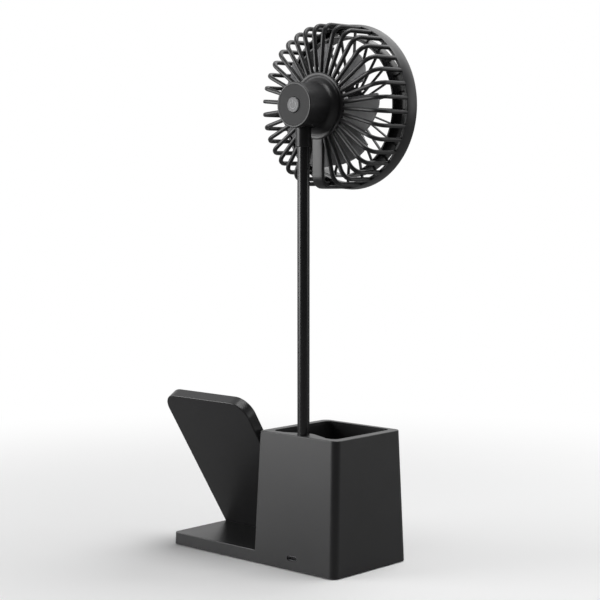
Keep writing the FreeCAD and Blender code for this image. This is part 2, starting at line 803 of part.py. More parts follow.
def rear_guard():
    inner = guard_radius - rib_depth
    bow = 1 - math.sqrt(0.5)
    rear = head_front_y
    inner_bend = rib_bend - rib_depth
    ring_rear = guard_front_y + ring_length
    outer_arc = ((guard_radius - rib_bend * bow, rear - rib_bend * bow), (guard_radius, rear - rib_bend))
    inner_arc = ((inner - inner_bend * bow, rear - rib_depth - inner_bend * bow),
                 (inner - inner_bend, rear - rib_depth))
    points = [(shaft_hole, rear), (guard_radius - rib_bend, rear), outer_arc,
              (guard_radius, ring_rear), (guard_front_radius, guard_front_y),
              (guard_radius - ring_wall, guard_front_y), (guard_radius - ring_wall, ring_rear),
              (inner, ring_rear), (inner, rear - rib_bend), inner_arc, (shaft_hole, rear - rib_depth)]
    guard = turned(points)
    pitch = 360.0 / rib_count
    reach = guard_radius + 15.0
    cutters = []
    for index in range(rib_count):
        low = (index - 0.5) * pitch
        high = low + pitch
        if index == round(270.0 / pitch):
            continue
        cutters.append(rib_gap(low, high, rib_width / 2, rib_width / 2, guard_disc_radius, reach))
    guard = guard.cut(cutters)
    half_channel = channel_width / 2
    channel_band = turned(points).common(
        block(stem_x - half_channel, stem_x + half_channel, -100, 100, 0, axis_z - guard_disc_radius + 2.0))
    guard = guard.fuse(channel_band)
    bead = turned([(hub_flare_radius + 0.2, rear - 0.1), (guard_disc_radius, rear - 0.1),
                   ((guard_disc_radius - 0.5, rear + bead_height * 0.8),
                    ((guard_disc_radius + hub_flare_radius) / 2 + 0.1, rear + bead_height)),
                   ((hub_flare_radius + 0.7, rear + bead_height * 0.8), (hub_flare_radius + 0.2, rear))])
    guard = guard.fuse(bead)
    for x, z in hub_screw_places():
        guard = guard.cut(round_y(screw_radius * 0.8, rear - 5.0, rear + 1.0, x, z))
        guard = guard.cut(round_y(screw_radius * 1.4, rear - 5.0, rear - guard_disc_thickness + 1.0, x, z))
    return guard.removeSplitter()


def rib_gap(low, high, low_half, high_half, inner_radius, reach):
    """Prism between two ribs, each of its own half width, from their root to outside the guard."""
    points = []
    for angle, half, radii in ((low, low_half, (inner_radius, reach)), (high, -high_half, (reach, inner_radius))):
        turn = math.radians(angle)
        along = V(math.cos(turn), 0, math.sin(turn))
        side = V(-math.sin(turn), 0, math.cos(turn))
        for radius in radii:
            points.append(V(stem_x, guard_front_y + ring_length, axis_z) + along * radius + side * half)
    wire = Part.makePolygon(points + [points[0]])
    return Part.Face(wire).extrude(V(0, guard_depth, 0))


def front_grille():
    front = guard_front_y + grille_setback
    outer = guard_radius - ring_wall - cap_clearance
    grille = ring_y(outer, outer - grille_rim_wall, front, front + grille_rim_length)
    grille = grille.fuse(ring_y(duct_radius, duct_radius - duct_wall, front, front + duct_length))
    bars = []
    for index in range(bar_count):
        bar = block(stem_x + grille_disc_radius - 1.0, stem_x + outer - 0.5, front, front + bar_depth,
                    axis_z - bar_width / 2, axis_z + bar_width / 2)
        bars.append(about_axis(bar, index * 360.0 / bar_count + bar_phase))
    grille = grille.fuse(bars)
    return grille.fuse(round_y(grille_disc_radius, front, front + bar_depth)).removeSplitter()


def grille_cap():
    front = guard_front_y + grille_setback
    cap = round_y(grille_cap_radius, front - grille_cap_height, front)
    rim = [edge for edge in cap.Edges if abs(edge.CenterOfMass.y - (front - grille_cap_height)) < 0.01]
    return cap.makeFillet(1.2, rim)


def blade():
    """Twisted blade: its chord turns from the root's pitch to the tip's pitch."""
    wires = []
    for radius, chord, pitch in ((blade_root_radius, blade_root_chord, blade_root_pitch),
                                 (blade_tip_radius + 3.0, blade_tip_chord, blade_tip_pitch)):
        turn = math.radians(pitch)
        along = V(0, math.sin(turn), math.cos(turn))
        across = V(0, -math.cos(turn), math.sin(turn))
        centre = V(stem_x + radius, blade_centre_y, axis_z)
        corners = []
        for side, face in ((-1, -1), (1, -1), (1, 1), (-1, 1)):
            corners.append(centre + along * (side * chord / 2) + across * (face * blade_thickness / 2))
        wires.append(Part.makePolygon(corners + [corners[0]]))
    return Part.makeLoft(wires, True, True)


def impeller():
    cup = ring_y(impeller_cup_radius, impeller_cup_radius - impeller_wall, impeller_cup_front, impeller_cup_rear)
    cup = cup.fuse(round_y(impeller_cup_radius, impeller_cup_front, impeller_cup_front + impeller_wall))
    cup = cup.fuse(round_y(impeller_boss, impeller_cup_front, impeller_cup_rear))
    hollow = round_y(impeller_cup_radius - impeller_wall, impeller_cup_front + impeller_wall, 20.0)
    sweep = blade().cut(hollow).common(round_y(blade_tip_radius, -30.0, 30.0))
    blades = [about_axis(sweep, blade_phase + index * 360.0 / blade_count) for index in range(blade_count)]
    wheel = cup.fuse(blades)
    return wheel.cut(round_y(shaft_radius, impeller_cup_front - 1.0, impeller_cup_rear + 1.0)).removeSplitter()


def impeller_nut():
    rear = impeller_cup_front
    nut = round_y(impeller_boss + 0.6, rear - 1.6, rear)
    return nut.cut(round_y(shaft_radius, rear - 1.6, rear))


def motor_shaft():
    return round_y(shaft_radius, impeller_cup_front - 1.6, motor_rear_y + motor_cap_thickness + 0.4)


def motor_can():
    front = head_front_y
    can = round_y(motor_radius, front, motor_rear_y)
    can = can.cut(round_y(motor_radius - motor_wall, front + motor_wall, motor_rear_y))
    can = can.fuse(round_y(motor_boss_radius, front - 2.0, front + motor_wall))
    return can.cut(round_y(2.0, front - 3.0, front + 2.0)).removeSplitter()


def motor_cap():
    cap = round_y(motor_radius, motor_rear_y, motor_rear_y + motor_cap_thickness)
    return cap.cut(round_y(2.0, motor_rear_y - 1.0, motor_rear_y + 5.0))


def motor_bushes():
    fits = shaft_radius + shaft_clearance
    front = ring_y(2.0, fits, head_front_y - 2.0, head_front_y + motor_wall)
    rear = ring_y(2.0, fits, motor_rear_y, motor_rear_y + motor_cap_thickness)
    return Part.makeCompound([front, rear])


def motor_magnets():
    outer = motor_radius - motor_wall - cap_clearance
    low = head_front_y + 2.4
    high = low + armature_length + 1.0
    whole = ring_y(outer, magnet_inner, low, high)
    gap = block(stem_x - 20, stem_x + 20, low - 1, high + 1, axis_z - 2.6, axis_z + 2.6)
    return whole.cut(gap)


def armature():
    low = head_front_y + 2.9
    core = round_y(armature_radius, low, low + armature_length)
    for angle in (90, 210, 330):
        spot_x = stem_x + armature_radius * math.cos(math.radians(angle))
        spot_z = axis_z + armature_radius * math.sin(math.radians(angle))
        core = core.cut(round_y(2.0, low, low + armature_length, spot_x, spot_z))
    return core.cut(round_y(shaft_radius, low, low + armature_length))


def commutator():
    low = head_front_y + 2.9 + armature_length
    return ring_y(commutator_radius, shaft_radius, low, low + commutator_length)


def build():
    os.makedirs("parts", exist_ok=True)
    pieces = [base_shell, pen_cup, stem_socket, base_plate, base_screws, foot_mat, ballast_plate,
              power_board, usb_shell, usb_tongue, panel_back_shell, panel_front_cover, grip_ring,
              charge_coil, coil_ferrite, charger_board, ledge_pad, stem_tube, stem_washer,
              stem_retainer, stem_clamp, clamp_screws, fan_lead, neck_ferrule, hub_housing, hub_screws, hub_cap, power_button,
              tact_switch, hub_board, tilt_pin, rear_guard, front_grille, grille_cap, impeller,
              impeller_nut, motor_shaft, motor_can, motor_cap, motor_bushes, motor_magnets, armature,
              commutator]
    for piece in pieces:
        save(piece.__name__, piece())


build()
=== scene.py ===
import math

import bmesh
import bpy
from mathutils import Matrix, Vector


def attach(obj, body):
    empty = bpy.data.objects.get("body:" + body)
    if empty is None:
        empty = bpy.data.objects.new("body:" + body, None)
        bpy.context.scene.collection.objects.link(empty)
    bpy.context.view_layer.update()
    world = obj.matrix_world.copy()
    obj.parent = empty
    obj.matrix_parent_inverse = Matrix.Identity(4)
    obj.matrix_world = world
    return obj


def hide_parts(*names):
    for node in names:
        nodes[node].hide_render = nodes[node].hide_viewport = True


# Desk fan on a weighted base with a pen cup and a leaning phone stand.
# Metres, +Z up. The fan blows along -Y; the phone stand is at +X and the pen cup at -X.

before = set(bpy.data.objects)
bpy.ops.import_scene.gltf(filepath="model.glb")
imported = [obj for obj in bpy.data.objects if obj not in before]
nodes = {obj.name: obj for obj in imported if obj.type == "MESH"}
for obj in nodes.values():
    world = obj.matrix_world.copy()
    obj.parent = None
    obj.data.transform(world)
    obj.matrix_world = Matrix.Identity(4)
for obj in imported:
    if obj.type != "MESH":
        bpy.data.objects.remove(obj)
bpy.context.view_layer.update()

scene = bpy.context.scene


# ---- Camera, room and lights --------------------------------------------------------------------
# The fan stands on a plain pale floor in soft studio light. The camera looks at its back from the
# pen cup's side, a little above the middle of the stem, through a long lens.

camera_data = bpy.data.cameras.new("camera")
camera_data.lens = 95.44
camera_data.sensor_width = 36.0
camera = bpy.data.objects.new("camera", camera_data)
camera.location = (-0.8256, 0.8820, 0.2917)
look = Vector((0.6755, -0.7331, -0.0796))
camera.rotation_euler = look.to_track_quat("-Z", "Y").to_euler()
scene.collection.objects.link(camera)
scene.camera = camera

floor_mesh = bmesh.new()
bmesh.ops.create_grid(floor_mesh, x_segments=1, y_segments=1, size=40.0)
floor_data = bpy.data.meshes.new("floor")
floor_mesh.to_mesh(floor_data)
floor_mesh.free()
floor = bpy.data.objects.new("floor", floor_data)
scene.collection.objects.link(floor)

# The floor takes the shadow near the fan and runs out into white further off.
floor_paint = bpy.data.materials.new("pale_floor")
floor_paint.use_nodes = True
tree = floor_paint.node_tree
paint = tree.nodes["Principled BSDF"]
paint.inputs["Roughness"].default_value = 0.9
paint.inputs["Specular IOR Level"].default_value = 0.1
glow = tree.nodes.new("ShaderNodeEmission")
glow.inputs["Color"].default_value = (1.0, 1.0, 1.0, 1.0)
rays = tree.nodes.new("ShaderNodeLightPath")
tone = tree.nodes.new("ShaderNodeMix")
tone.data_type = "RGBA"
tone.inputs[6].default_value = (0.30, 0.30, 0.30, 1.0)
tone.inputs[7].default_value = (0.90, 0.90, 0.90, 1.0)
tree.links.new(rays.outputs["Is Camera Ray"], tone.inputs[0])
tree.links.new(tone.outputs[2], paint.inputs["Base Color"])
place = tree.nodes.new("ShaderNodeTexCoord")
reach = tree.nodes.new("ShaderNodeVectorMath")
reach.operation = "LENGTH"
tree.links.new(place.outputs["Object"], reach.inputs[0])
fade = tree.nodes.new("ShaderNodeMapRange")
fade.interpolation_type = "SMOOTHSTEP"
fade.inputs["From Min"].default_value = 0.20
fade.inputs["From Max"].default_value = 0.75
tree.links.new(reach.outputs["Value"], fade.inputs["Value"])
far = tree.nodes.new("ShaderNodeMath")
far.operation = "MULTIPLY"
tree.links.new(fade.outputs["Result"], far.inputs[0])
tree.links.new(rays.outputs["Is Camera Ray"], far.inputs[1])
blend = tree.nodes.new("ShaderNodeMixShader")
tree.links.new(far.outputs[0], blend.inputs[0])
tree.links.new(paint.outputs[0], blend.inputs[1])
tree.links.new(glow.outputs[0], blend.inputs[2])
tree.links.new(blend.outputs[0], tree.nodes["Material Output"].inputs["Surface"])
floor_data.materials.append(floor_paint)

world = bpy.data.worlds.new("studio")
scene.world = world
world.use_nodes = True
tree = world.node_tree
tree.nodes.clear()
out = tree.nodes.new("ShaderNodeOutputWorld")
room = tree.nodes.new("ShaderNodeBackground")
room.inputs["Color"].default_value = (1.0, 1.0, 1.0, 1.0)
room.inputs["Strength"].default_value = 0.15
white = tree.nodes.new("ShaderNodeBackground")
white.inputs["Color"].default_value = (1.0, 1.0, 1.0, 1.0)
white.inputs["Strength"].default_value = 1.0

# The half of the studio that the rear corner of the box faces is unlit, as the drapes there are
# black, so mirrored rays fade out towards it.
wall = tree.nodes.new("ShaderNodeBackground")
compass = tree.nodes.new("ShaderNodeTexCoord")
facing = tree.nodes.new("ShaderNodeVectorMath")
facing.operation = "DOT_PRODUCT"
facing.inputs[1].default_value = (-0.77, 0.64, -0.10)
tree.links.new(compass.outputs["Generated"], facing.inputs[0])
drape = tree.nodes.new("ShaderNodeMapRange")
drape.interpolation_type = "SMOOTHSTEP"
drape.inputs["From Min"].default_value = -0.35
drape.inputs["From Max"].default_value = 0.45
drape.inputs["To Min"].default_value = 1.0
drape.inputs["To Max"].default_value = 0.02
tree.links.new(facing.outputs["Value"], drape.inputs["Value"])
tree.links.new(drape.outputs["Result"], wall.inputs["Strength"])
rays = tree.nodes.new("ShaderNodeLightPath")
seen = tree.nodes.new("ShaderNodeMath")
seen.operation = "MAXIMUM"
tree.links.new(rays.outputs["Is Camera Ray"], seen.inputs[0])
tree.links.new(rays.outputs["Is Transmission Ray"], seen.inputs[1])
mirrored = tree.nodes.new("ShaderNodeMixShader")
tree.links.new(rays.outputs["Is Glossy Ray"], mirrored.inputs[0])
tree.links.new(room.outputs[0], mirrored.inputs[1])
tree.links.new(wall.outputs[0], mirrored.inputs[2])
pick = tree.nodes.new("ShaderNodeMixShader")
tree.links.new(seen.outputs[0], pick.inputs[0])
tree.links.new(mirrored.outputs[0], pick.inputs[1])
tree.links.new(white.outputs[0], pick.inputs[2])
tree.links.new(pick.outputs[0], out.inputs["Surface"])


def hang_lamp(name, place, size, power):
    """A square softbox at a place, turned to face the middle of the fan."""
    data = bpy.data.lights.new(name, "AREA")
    data.shape = "SQUARE"
    data.size = size
    data.energy = power
    lamp = bpy.data.objects.new(name, data)
    lamp.location = place
    lamp.rotation_euler = (Vector((0, 0, 0.2)) - Vector(place)).to_track_quat("-Z", "Y").to_euler()
    scene.collection.objects.link(lamp)
    return lamp


hang_lamp("top_softbox", (-0.35, -0.15, 1.45), 0.9, 14.0)
hang_lamp("left_softbox", (1.25, 1.45, 0.35), 1.3, 30.0)
hang_lamp("right_softbox", (-1.5, -1.3, 0.5), 0.9, 3.5)
hang_lamp("front_softbox", (0.1, -1.25, 1.2), 1.2, 6.0)

scene.view_settings.view_transform = "Standard"


# ---- Base shell ---------------------------------------------------------------------------------
# One moulding of black plastic with a fine spark-eroded grain: the low platform, the tall box for
# the pens, and the lip that stops a phone. Its walls lean in so that it leaves the mould.

def build_grain_group():
    """Fine moulded grain, with the faint unevenness of a thick moulding and a little dust."""
    group = bpy.data.node_groups.new("moulded_grain", "ShaderNodeTree")
    face = group.interface
    for label, kind, value in (("Colour", "NodeSocketColor", (0.03, 0.03, 0.03, 1.0)),
                               ("Roughness", "NodeSocketFloat", 0.5),
                               ("Grain size", "NodeSocketFloat", 2500.0),
                               ("Grain depth", "NodeSocketFloat", 0.1)):
        socket = face.new_socket(label, in_out="INPUT", socket_type=kind)
        socket.default_value = value
    face.new_socket("Colour", in_out="OUTPUT", socket_type="NodeSocketColor")
    face.new_socket("Roughness", in_out="OUTPUT", socket_type="NodeSocketFloat")
    face.new_socket("Normal", in_out="OUTPUT", socket_type="NodeSocketVector")
    start = group.nodes.new("NodeGroupInput")
    end = group.nodes.new("NodeGroupOutput")
    place = group.nodes.new("ShaderNodeTexCoord")

    cloud = group.nodes.new("ShaderNodeTexNoise")
    cloud.inputs["Scale"].default_value = 38.0
    cloud.inputs["Detail"].default_value = 4.0
    group.links.new(place.outputs["Object"], cloud.inputs["Vector"])
    grain = group.nodes.new("ShaderNodeTexNoise")
    grain.inputs["Detail"].default_value = 3.0
    group.links.new(place.outputs["Object"], grain.inputs["Vector"])
    group.links.new(start.outputs["Grain size"], grain.inputs["Scale"])

    both = group.nodes.new("ShaderNodeMath")
    both.operation = "ADD"
    group.links.new(cloud.outputs["Fac"], both.inputs[0])
    group.links.new(grain.outputs["Fac"], both.inputs[1])
    shade = group.nodes.new("ShaderNodeMapRange")
    shade.inputs["From Min"].default_value = 0.7
    shade.inputs["From Max"].default_value = 1.3
    shade.inputs["To Min"].default_value = 0.90
    shade.inputs["To Max"].default_value = 1.10
    group.links.new(both.outputs[0], shade.inputs["Value"])
    tint = group.nodes.new("ShaderNodeVectorMath")
    tint.operation = "SCALE"
    group.links.new(start.outputs["Colour"], tint.inputs[0])
    group.links.new(shade.outputs["Result"], tint.inputs["Scale"])
    group.links.new(tint.outputs["Vector"], end.inputs["Colour"])

    dull = group.nodes.new("ShaderNodeMapRange")
    dull.inputs["From Min"].default_value = 0.3
    dull.inputs["From Max"].default_value = 0.7
    dull.inputs["To Min"].default_value = 0.95
    dull.inputs["To Max"].default_value = 1.05
    group.links.new(cloud.outputs["Fac"], dull.inputs["Value"])
    level = group.nodes.new("ShaderNodeMath")
    level.operation = "MULTIPLY"
    group.links.new(dull.outputs["Result"], level.inputs[0])
    group.links.new(start.outputs["Roughness"], level.inputs[1])
    group.links.new(level.outputs[0], end.inputs["Roughness"])

    bump = group.nodes.new("ShaderNodeBump")
    bump.inputs["Distance"].default_value = 0.0001
    group.links.new(start.outputs["Grain depth"], bump.inputs["Strength"])
    group.links.new(grain.outputs["Fac"], bump.inputs["Height"])
    group.links.new(bump.outputs["Normal"], end.inputs["Normal"])
    return group


grain_group = build_grain_group()


def mould_plastic(name, colour, roughness, depth, size=2500.0, level=0.35):
    """Plastic or rubber of one colour with the moulded grain."""
    material = bpy.data.materials.new(name)
    material.use_nodes = True
    tree = material.node_tree
    surface = tree.nodes["Principled BSDF"]
    surface.inputs["Specular IOR Level"].default_value = level
    grain = tree.nodes.new("ShaderNodeGroup")
    grain.node_tree = grain_group
    grain.inputs["Colour"].default_value = (*colour, 1.0)
    grain.inputs["Roughness"].default_value = roughness
    grain.inputs["Grain size"].default_value = size
    grain.inputs["Grain depth"].default_value = depth
    tree.links.new(grain.outputs["Colour"], surface.inputs["Base Color"])
    tree.links.new(grain.outputs["Roughness"], surface.inputs["Roughness"])
    tree.links.new(grain.outputs["Normal"], surface.inputs["Normal"])
    return material


def dress(names, material):
    """Gives CAD nodes their finish."""
    for name in names:
        for place in nodes[name].material_slots:
            place.material = material


shell_plastic = mould_plastic("shell_plastic", (0.019, 0.019, 0.020), 0.36, 0.2, 2500.0, 0.5)
dress(("base_shell",), shell_plastic)


# ---- Pen cup and stem socket --------------------------------------------------------------------
# The cup is a tub hung under the box's rim. The socket round the stem is a bell-shaped block that
# fills the cup's rear wall and stops flush with the rim, with a hairline seam all round.

cup_plastic = mould_plastic("cup_plastic", (0.016, 0.016, 0.017), 0.42, 0.2)
dress(("pen_cup",), cup_plastic)
dress(("stem_socket",), shell_plastic)


# ---- Underside ----------------------------------------------------------------------------------
# A screwed plate closes the base over an iron ballast. Most of it is covered by a rubber mat with
# fine cross ribs, which keeps the light stand from walking on a desk.

dress(("base_plate", "stem_clamp"),
      mould_plastic("plate_plastic", (0.018, 0.018, 0.019), 0.5, 0.4, 1500.0))

mat_rubber = mould_plastic("mat_rubber", (0.018, 0.018, 0.019), 0.75, 0.4, 1800.0, 0.25)
tree = mat_rubber.node_tree
place = tree.nodes.new("ShaderNodeTexCoord")
ribs = tree.nodes.new("ShaderNodeTexWave")
ribs.bands_direction = "DIAGONAL"
ribs.inputs["Scale"].default_value = 130.0
tree.links.new(place.outputs["Object"], ribs.inputs["Vector"])
raised = tree.nodes.new("ShaderNodeBump")
raised.inputs["Distance"].default_value = 0.0004
raised.inputs["Strength"].default_value = 0.8
tree.links.new(ribs.outputs["Fac"], raised.inputs["Height"])
for node in tree.nodes:
    if node.type == "GROUP":
        tree.links.new(node.outputs["Normal"], raised.inputs["Normal"])
tree.links.new(raised.outputs["Normal"], tree.nodes["Principled BSDF"].inputs["Normal"])
dress(("foot_mat",), mat_rubber)


def work_metal(name, colour, roughness, marks):
    """Bare metal with fine drawing marks; marks is how dense they are."""
    material = bpy.data.materials.new(name)
    material.use_nodes = True
    tree = material.node_tree
    surface = tree.nodes["Principled BSDF"]
    surface.inputs["Metallic"].default_value = 1.0
    place = tree.nodes.new("ShaderNodeTexCoord")
    stretch = tree.nodes.new("ShaderNodeMapping")
    stretch.inputs["Scale"].default_value = (1.0, 0.12, 1.0)
    tree.links.new(place.outputs["Object"], stretch.inputs["Vector"])
    lines = tree.nodes.new("ShaderNodeTexNoise")
    lines.inputs["Scale"].default_value = marks
    lines.inputs["Detail"].default_value = 5.0
    tree.links.new(stretch.outputs["Vector"], lines.inputs["Vector"])
    tone = tree.nodes.new("ShaderNodeMapRange")
    tone.inputs["To Min"].default_value = roughness * 0.7
    tone.inputs["To Max"].default_value = roughness * 1.4
    tree.links.new(lines.outputs["Fac"], tone.inputs["Value"])
    tree.links.new(tone.outputs["Result"], surface.inputs["Roughness"])
    ramp = tree.nodes.new("ShaderNodeValToRGB")
    ramp.color_ramp.elements[0].color = (*[c * 0.8 for c in colour], 1.0)
    ramp.color_ramp.elements[1].color = (*colour, 1.0)
    tree.links.new(lines.outputs["Fac"], ramp.inputs["Fac"])
    tree.links.new(ramp.outputs["Color"], surface.inputs["Base Color"])
    return material


screw_steel = work_metal("screw_steel", (0.42, 0.42, 0.44), 0.3, 1400.0)
dress(("base_screws", "clamp_screws", "stem_retainer"), screw_steel)
dress(("ballast_plate",), work_metal("cast_ballast", (0.16, 0.155, 0.15), 0.6, 500.0))


# ---- Power socket -------------------------------------------------------------------------------
# A drawn steel shell with a black tongue, soldered to a small board just inside the rear wall.
# The wall has an oval opening with a hair of clearance round the shell.

dress(("usb_shell",), work_metal("socket_steel", (0.50, 0.50, 0.52), 0.28, 2200.0))
dress(("usb_tongue", "tact_switch", "motor_cap"),
      mould_plastic("insulator_plastic", (0.018, 0.018, 0.019), 0.45, 0.1))

board_lacquer = bpy.data.materials.new("board_lacquer")
board_lacquer.use_nodes = True
tree = board_lacquer.node_tree
place = tree.nodes.new("ShaderNodeTexCoord")
tracks = tree.nodes.new("ShaderNodeTexBrick")
tracks.inputs["Scale"].default_value = 260.0
tracks.inputs["Mortar Size"].default_value = 0.06
tracks.inputs["Color1"].default_value = (0.010, 0.070, 0.028, 1.0)
tracks.inputs["Color2"].default_value = (0.012, 0.060, 0.026, 1.0)
tracks.inputs["Mortar"].default_value = (0.020, 0.120, 0.045, 1.0)
tree.links.new(place.outputs["Object"], tracks.inputs["Vector"])
tree.links.new(tracks.outputs["Color"], tree.nodes["Principled BSDF"].inputs["Base Color"])
tree.nodes["Principled BSDF"].inputs["Roughness"].default_value = 0.28
dress(("power_board", "charger_board", "hub_board"), board_lacquer)


# ---- Phone stand --------------------------------------------------------------------------------
# Two black shells clipped together form the leaning panel; the seam between them shows in its edge.
# A rubber ring on the front keeps a phone from sliding, and a pad lies on the ledge under it.

panel_plastic = mould_plastic("panel_plastic", (0.019, 0.019, 0.020), 0.32, 0.18, 2500.0, 0.5)
dress(("panel_back_shell", "panel_front_cover"), panel_plastic)
dress(("grip_ring", "ledge_pad", "fan_lead"),
      mould_plastic("pad_rubber", (0.020, 0.020, 0.021), 0.8, 0.5, 900.0, 0.25))
dress(("coil_ferrite", "motor_magnets"),
      mould_plastic("sintered_ferrite", (0.030, 0.029, 0.028), 0.6, 0.6, 1200.0))

wire_enamel = work_metal("wire_enamel", (0.70, 0.34, 0.15), 0.3, 1800.0)
dress(("charge_coil", "commutator", "motor_bushes"), wire_enamel)


# ---- Stem ---------------------------------------------------------------------------------------
# A straight steel tube in satin black paint, with the fan's two leads inside it. A nylon washer
# under the cup's floor lets it turn, and a moulded ferrule at its top carries the tilt pin.

dress(("stem_tube",), mould_plastic("stem_paint", (0.014, 0.014, 0.015), 0.25, 0.06, 1600.0, 0.5))
dress(("stem_washer",), mould_plastic("nylon", (0.62, 0.61, 0.57), 0.5, 0.2))
dress(("neck_ferrule",), mould_plastic("ferrule_plastic", (0.016, 0.016, 0.017), 0.30, 0.12))
dress(("tilt_pin",), screw_steel)


# ---- Hub ----------------------------------------------------------------------------------------
# The motor's housing: a moulded drum that flares out at the front to meet the guard, closed at the
# back by a flat disc round the push button. The disc has a slightly duller finish than the drum.

hub_plastic = mould_plastic("hub_plastic", (0.017, 0.017, 0.018), 0.40, 0.15, 2500.0, 0.5)
dress(("hub_housing",), hub_plastic)
dress(("hub_cap",), mould_plastic("cap_plastic", (0.019, 0.019, 0.020), 0.50, 0.2, 2500.0, 0.25))
dress(("hub_screws",), screw_steel)


# ---- Push button --------------------------------------------------------------------------------
# A satin grey moulded button, slightly dished, on the fan's axis. A generic on and off mark, an
# open ring with a bar in its gap, is printed on it.

fan_axis = Vector((-0.044, 0.0, 0.3405))


def turn_ring(mesh, outline, steps=96):
    """Spins a closed outline of (radius, y) points about the fan's axis."""
    points = [mesh.verts.new((fan_axis.x + radius, y, fan_axis.z)) for radius, y in outline]
    edges = [mesh.edges.new((points[i - 1], points[i])) for i in range(len(points))]
    bmesh.ops.spin(mesh, geom=points + edges, cent=fan_axis, axis=(0.0, 1.0, 0.0),
                   angle=math.tau, steps=steps, use_merge=True)
    bmesh.ops.remove_doubles(mesh, verts=mesh.verts, dist=1e-6)


def finish_piece(name, mesh, material, body):
    """Turns a mesh into a smooth-shaded piece that rides on a CAD body."""
    bmesh.ops.recalc_face_normals(mesh, faces=mesh.faces)
    for face in mesh.faces:
        face.smooth = True
    for edge in mesh.edges:
        if len(edge.link_faces) == 2 and edge.calc_face_angle(0.0) > math.radians(38):
            edge.smooth = False
    data = bpy.data.meshes.new(name)
    mesh.to_mesh(data)
    mesh.free()
    data.materials.append(material)
    piece = bpy.data.objects.new(name, data)
    scene.collection.objects.link(piece)
    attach(piece, body)
    return piece


button_back = 0.0384
button_face = 0.0414
mesh = bmesh.new()
turn_ring(mesh, ((0.0, button_back), (0.00565, button_back), (0.00565, button_face - 0.0006),
                 (0.00557, button_face - 0.0003), (0.00536, button_face - 0.0001),
                 (0.00510, button_face), (0.00470, button_face), (0.00300, button_face - 0.00010),
                 (0.00150, button_face - 0.00014), (0.0, button_face - 0.00015)), 64)
button_plastic = mould_plastic("button_plastic", (0.20, 0.20, 0.205), 0.38, 0.12)
button = finish_piece("button_cap", mesh, button_plastic, "button")
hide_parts("power_button")

mark_radius = 0.0027
mark_width = 0.00055
mark_gap = 38.0
mesh = bmesh.new()
bmesh.ops.create_cube(mesh, size=1.0)
bmesh.ops.scale(mesh, vec=(mark_width, 0.00012, 0.0023), verts=mesh.verts)
bmesh.ops.translate(mesh, vec=(fan_axis.x, button_face - 0.00006, fan_axis.z + 0.0023),
                    verts=mesh.verts)
arc_start = math.radians(90 - mark_gap)
corner_low = mark_radius - mark_width / 2
corner_high = mark_radius + mark_width / 2
section = []
for radius, y in ((corner_low, button_face - 0.00015), (corner_high, button_face - 0.00015),
                  (corner_high, button_face - 0.00001), (corner_low, button_face - 0.00001)):
    section.append(mesh.verts.new((fan_axis.x + radius * math.cos(arc_start), y,
                                   fan_axis.z + radius * math.sin(arc_start))))
start = mesh.faces.new(section)
bmesh.ops.spin(mesh, geom=[start, *start.edges, *start.verts], cent=fan_axis, axis=(0.0, 1.0, 0.0),
               angle=math.radians(360 - 2 * mark_gap), steps=40)
mark_paint = mould_plastic("mark_paint", (0.50, 0.50, 0.51), 0.5, 0.05)
finish_piece("button_mark", mesh, mark_paint, "button")


# ---- Rear guard ---------------------------------------------------------------------------------
# One black moulding: a disc with a rounded bead round the hub, thin rounded ribs that run out and
# bend forward, a wide flat strip at the bottom that covers the wires, and the solid front ring.

rib_plane = 0.0152
ring_rear = -0.0143
ring_front = -0.0248
guard_radius = 0.0605
bend_radius = 0.0095
rib_inner = 0.0232
rib_total = 34
rib_pitch = 10
first_bearing = 285.0
strip_bearing = 270.0


def draw_rib(mesh, half_width, half_depth, boxiness, bearing):
    """A bar that leaves the bead, runs outwards and bends forward to the ring. Bearing is its
    direction in degrees from +X towards +Z; a boxiness under 1 flattens its sides."""
    made = bmesh.ops.create_circle(mesh, cap_ends=True, segments=16, radius=1.0)
    start = made["verts"][0].link_faces[0]
    for vert in made["verts"]:
        across = math.copysign(abs(vert.co.x) ** boxiness, vert.co.x) * half_width
        deep = math.copysign(abs(vert.co.y) ** boxiness, vert.co.y) * half_depth
        vert.co = Vector((fan_axis.x + rib_inner, rib_plane - half_depth + deep, fan_axis.z + across))
    rib = set(start.verts)
    pushed = bmesh.ops.extrude_face_region(mesh, geom=[start])
    moved = [item for item in pushed["geom"] if isinstance(item, bmesh.types.BMVert)]
    bmesh.ops.translate(mesh, vec=(guard_radius - bend_radius - rib_inner, 0, 0), verts=moved)
    end = [item for item in pushed["geom"] if isinstance(item, bmesh.types.BMFace)][0]
    centre = Vector((fan_axis.x + guard_radius - bend_radius, rib_plane - bend_radius, fan_axis.z))
    rib.update(moved)
    before = set(mesh.verts)
    turned = bmesh.ops.spin(mesh, geom=[end, *end.edges, *end.verts], cent=centre, axis=(0.0, 0.0, 1.0),
                            angle=-math.pi / 2, steps=8)
    rib.update(vert for vert in mesh.verts if vert not in before)
    end = [item for item in turned["geom_last"] if isinstance(item, bmesh.types.BMFace)][0]
    pushed = bmesh.ops.extrude_face_region(mesh, geom=[end])
    moved = [item for item in pushed["geom"] if isinstance(item, bmesh.types.BMVert)]
    bmesh.ops.delete(mesh, geom=[end], context="FACES_ONLY")
    bmesh.ops.translate(mesh, vec=(0, ring_rear - 0.0006 - (rib_plane - bend_radius), 0), verts=moved)
    rib.update(moved)
    turn = Matrix.Rotation(-math.radians(bearing), 3, "Y")
    bmesh.ops.rotate(mesh, cent=fan_axis, matrix=turn, verts=list(rib))
    return list(rib)


